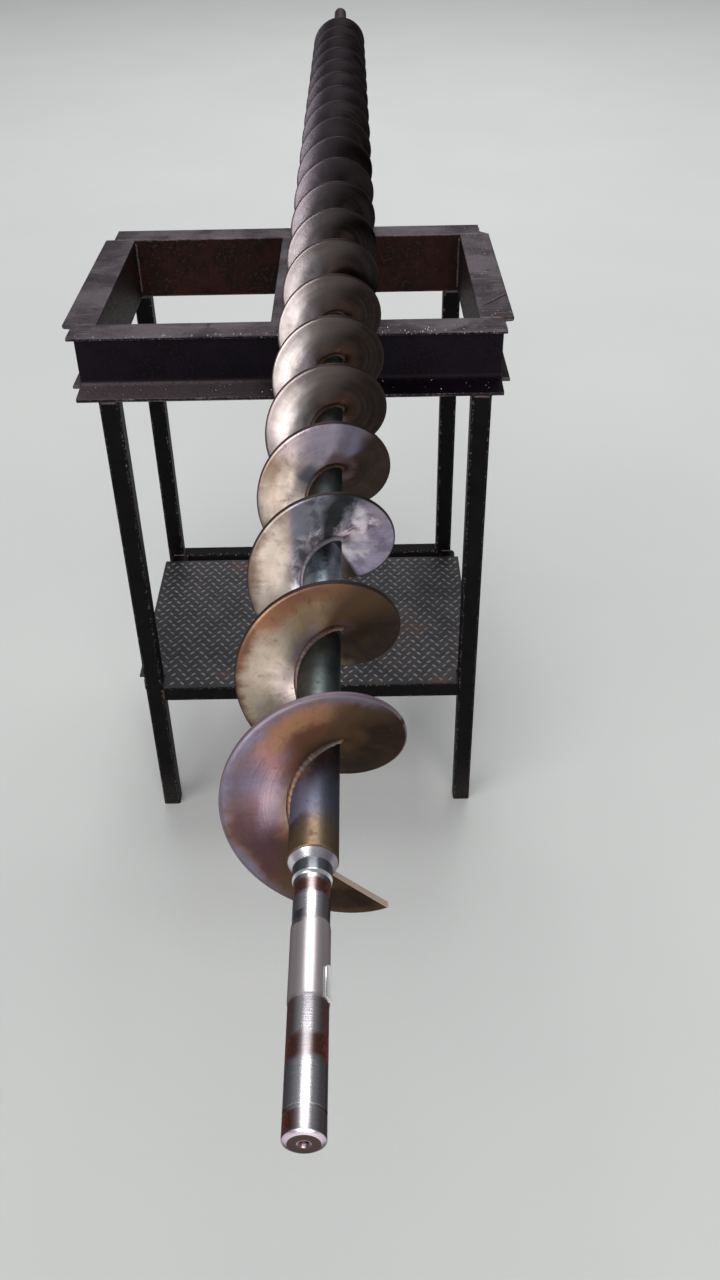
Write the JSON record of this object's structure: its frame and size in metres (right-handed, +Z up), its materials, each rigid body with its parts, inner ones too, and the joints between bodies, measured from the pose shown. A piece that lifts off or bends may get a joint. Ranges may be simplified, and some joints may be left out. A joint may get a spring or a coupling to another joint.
{
  "type": "screw conveyor",
  "caption": "Right-hand conveyor screw with a stepped, keyed drive shaft, lying loose on a welded channel-steel bench with square legs and a low shelf.",
  "frame": {"origin": "on the floor, midway along the screw and midway across the bench", "axes": "+Z up, +Y along the screw from its drive shaft to its far end, +X across the bench to the right"},
  "size_m": [0.658, 3.542, 1.0611],
  "materials": {
    "screw_pipe": "dull, with brown and blue heat tint at the near end",
    "flight_01": "lilac and copper heat tint",
    "flight_02": "golden beige heat tint",
    "flight_03": "beige, with one mirror-ground patch",
    "flight_04": "brushed, faint brown tint at the root",
    "flight_05": "brushed, faint brown tint at the root",
    "flight_06": "brushed, faint brown tint at the root",
    "flight_07": "brushed, faint brown tint at the root",
    "flight_08": "brushed, faint brown tint at the root",
    "flight_09": "brushed, faint brown tint at the root",
    "flight_10": "brushed, faint brown tint at the root",
    "flight_11": "brushed, faint brown tint at the root",
    "flight_12": "brushed, faint brown tint at the root",
    "flight_13": "brushed, faint brown tint at the root",
    "flight_14": "brushed, faint brown tint at the root",
    "flight_15": "brushed, faint brown tint at the root",
    "flight_16": "brushed, faint brown tint at the root",
    "flight_17": "brushed, faint brown tint at the root",
    "flight_18": "brushed, faint brown tint at the root",
    "flight_19": "brushed, faint brown tint at the root",
    "flight_20": "brushed, faint brown tint at the root",
    "flight_21": "brushed, faint brown tint at the root",
    "drive_shaft": "turned bright, with rust-brown bands",
    "shaft_key": "ground",
    "far_plug": "turned, dull",
    "rail_front": "dark paint, worn to grey steel on top",
    "rail_back": "dark paint, worn to grey steel on top",
    "rail_left": "red-oxide primer, worn to grey steel on top",
    "rail_right": "red-oxide primer, worn to grey steel on top",
    "rail_middle": "red-oxide primer, worn to grey steel on top",
    "leg_front_left": "chipped black paint",
    "leg_front_right": "chipped black paint",
    "leg_rear_left": "chipped black paint",
    "leg_rear_right": "chipped black paint",
    "shelf_rail_front": "chipped black paint",
    "shelf_rail_rear": "chipped black paint",
    "shelf_rail_left": "chipped black paint",
    "shelf_rail_right": "chipped black paint",
    "shelf_plate": "dull tread plate with dust"
  },
  "bodies": {
    "root": {"screw_pipe": "screw_pipe", "flight_01": "flight_01", "flight_02": "flight_02", "flight_03": "flight_03", "flight_04": "flight_04", "flight_05": "flight_05", "flight_06": "flight_06", "flight_07": "flight_07", "flight_08": "flight_08", "flight_09": "flight_09", "flight_10": "flight_10", "flight_11": "flight_11", "flight_12": "flight_12", "flight_13": "flight_13", "flight_14": "flight_14", "flight_15": "flight_15", "flight_16": "flight_16", "flight_17": "flight_17", "flight_18": "flight_18", "flight_19": "flight_19", "flight_20": "flight_20", "flight_21": "flight_21", "drive_shaft": "drive_shaft", "shaft_key": "shaft_key", "far_plug": "far_plug", "rail_front": "rail_front", "rail_back": "rail_back", "rail_left": "rail_left", "rail_right": "rail_right", "rail_middle": "rail_middle", "leg_front_left": "leg_front_left", "leg_front_right": "leg_front_right", "leg_rear_left": "leg_rear_left", "leg_rear_right": "leg_rear_right", "shelf_rail_front": "shelf_rail_front", "shelf_rail_rear": "shelf_rail_rear", "shelf_rail_left": "shelf_rail_left", "shelf_rail_right": "shelf_rail_right", "shelf_plate": "shelf_plate"}
  },
  "joints": []
}
